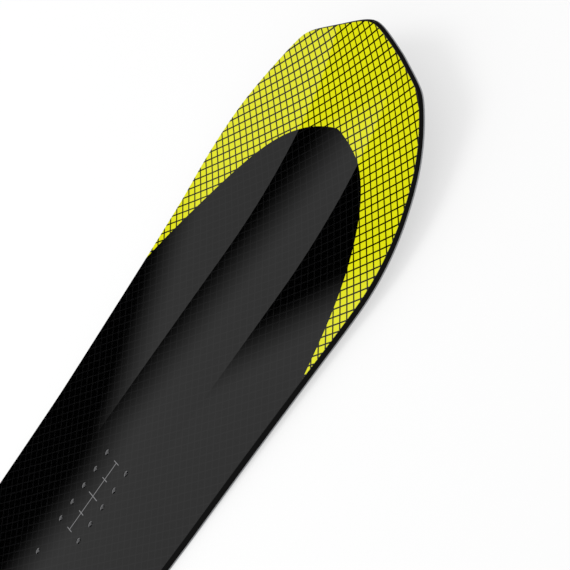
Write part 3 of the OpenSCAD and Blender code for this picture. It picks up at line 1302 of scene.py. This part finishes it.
@dataclass(frozen=True)
class Studio:
    """Pale floor, even surround, one soft lamp, a dark card for the gloss, and the camera."""

    camera_place: Triple = (0.58340, -1.01747, 0.92209)
    camera_aim: Triple = (0.51040, -0.04899, 0.00800)
    camera_roll: float = math.radians(-57.67)
    lens_mm: float = 90.05
    sensor_mm: float = 36.0
    floor_half: float = 12.0
    floor_gap: float = 0.0003
    floor_colour: Triple = (0.93, 0.93, 0.93)
    floor_glow: float = 0.6
    surround: float = 0.82
    lamp_place: Triple = (-0.6, 0.9, 2.6)
    lamp_size: float = 1.6
    lamp_watts: float = 26.0
    card_y: float = 0.878
    card_half: float = 4.0
    card_top: float = 0.747
    card_slope: float = 0.0426
    card_soft: float = 0.108
    card_rise: float = 0.024
    card_rise_x: Pair = (-0.06, 0.09)

    def build(self) -> None:
        """Builds the studio."""
        self.light_surround()
        self.lay_floor()
        self.hang_lamp()
        self.stand_card()
        self.set_camera()
        bpy.context.scene.view_settings.view_transform = "Standard"

    def light_surround(self) -> None:
        """White surround for the eye and for gloss, and a little less of it as light."""
        world = bpy.data.worlds.new("surround")
        bpy.context.scene.world = world
        world.use_nodes = True
        wire = Wiring(world.node_tree)
        strength = wire.math("MULTIPLY_ADD", self.seen(wire), 1 - self.surround, self.surround)
        glow = wire.node("Background", {"Color": WHITE, "Strength": strength})
        wire.node("OutputWorld", {"Surface": glow.outputs[0]})

    def seen(self, wire: Wiring) -> Socket:
        """Whether the eye, gloss or glass sees a surface.

        Args:
            wire: Wiring of the surface's material, or of the world.

        Returns:
            1 for what they see, and 0 for light that falls on another surface.
        """
        rays = wire.node("LightPath").outputs
        direct = wire.math("MAXIMUM", rays["Is Camera Ray"], rays["Is Glossy Ray"])
        return wire.math("MAXIMUM", direct, rays["Is Transmission Ray"])

    def panel(
        self, name: str, corners: list[Triple], material: bpy.types.Material
    ) -> Piece:
        """Makes a flat stage panel.

        Args:
            name: Name of the panel.
            corners: Its four corners.
            material: Its material.

        Returns:
            The panel.
        """
        mesh = bpy.data.meshes.new(name)
        mesh.from_pydata(corners, [], [(0, 1, 2, 3)])
        mesh.materials.append(material)
        made = bpy.data.objects.new(name, mesh)
        bpy.context.scene.collection.objects.link(made)
        return made

    def lay_floor(self) -> None:
        """Lays a matt white floor just under the base, with a glow of its own that keeps shadows pale."""
        matt, wire = blank_material("pale_floor")
        paint = wire.node("BsdfDiffuse", {"Color": (*self.floor_colour, 1)})
        glow = wire.node("Emission", {"Color": WHITE})
        wire.blend(wire.math("MULTIPLY", self.seen(wire), self.floor_glow), paint, glow)
        e, z = self.floor_half, -self.floor_gap
        self.panel("floor", [(-e, -e, z), (e, -e, z), (e, e, z), (-e, e, z)], matt)

    def hang_lamp(self) -> None:
        """Hangs one broad soft lamp over the far side of the board."""
        lamp = bpy.data.lights.new("soft_lamp", "AREA")
        lamp.shape = "DISK"
        lamp.size = self.lamp_size
        lamp.energy = self.lamp_watts
        hung = bpy.data.objects.new("soft_lamp", lamp)
        hung.location = self.lamp_place
        hung.rotation_euler = (-Vector(self.lamp_place)).to_track_quat("-Z", "Y").to_euler()
        hung.visible_glossy = False
        bpy.context.scene.collection.objects.link(hung)

    def stand_card(self) -> None:
        """Stands a dark card beyond the board, with a soft top edge, for the deck's gloss alone."""
        dark, wire = blank_material("dark_card")
        parts = wire.node("SeparateXYZ", {0: wire.object_place()})
        slope = wire.math("MULTIPLY_ADD", parts.outputs[0], -self.card_slope, parts.outputs[2])
        rise = wire.step(parts.outputs[0], *self.card_rise_x, (self.card_rise, 0.0))
        edge = wire.math("SUBTRACT", slope, rise)
        clear = wire.step(edge, self.card_top - self.card_soft / 2, self.card_top + self.card_soft / 2)
        wire.blend(clear, wire.node("BsdfDiffuse", {"Color": BLACK}), wire.node("BsdfTransparent"))
        e, y = self.card_half, self.card_y
        top = self.card_top + self.card_soft + self.card_rise + self.card_slope * e
        card = self.panel("dark_card", [(-e, y, 0), (e, y, 0), (e, y, top), (-e, y, top)], dark)
        card.visible_camera = False
        card.visible_diffuse = False
        card.visible_shadow = False
        card.visible_transmission = False

    def set_camera(self) -> None:
        """Sets the camera: aimed at a point on the deck and rolled about its own axis."""
        data = bpy.data.cameras.new("camera")
        data.lens = self.lens_mm
        data.sensor_width = self.sensor_mm
        data.sensor_fit = "HORIZONTAL"
        camera = bpy.data.objects.new("camera", data)
        way = Vector(self.camera_aim) - Vector(self.camera_place)
        turn = way.to_track_quat("-Z", "Y").to_matrix() @ Matrix.Rotation(self.camera_roll, 3, "Z")
        camera.matrix_world = Matrix.Translation(self.camera_place) @ turn.to_4x4()
        bpy.context.scene.collection.objects.link(camera)
        bpy.context.scene.camera = camera


def main() -> None:
    """Loads the frame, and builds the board's skins and the studio."""
    logging.basicConfig(level=logging.INFO, format="%(name)s: %(message)s")
    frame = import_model()
    form = BoardForm()
    layout = InsertLayout.from_record(frame["record"], form)
    finishes = Finishes(layout)
    PackedSolids(finishes).dress(frame)
    bench = Bench(form, layout, Weave(), finishes)
    for assembly in (LaminateSheets(bench), Rails(bench), InsertPacks(bench)):
        pieces = assembly.build()
        LOG.info("%s: %s", type(assembly).__name__, ", ".join(piece.name for piece in pieces))
    Studio().build()


if __name__ == "__main__":
    main()
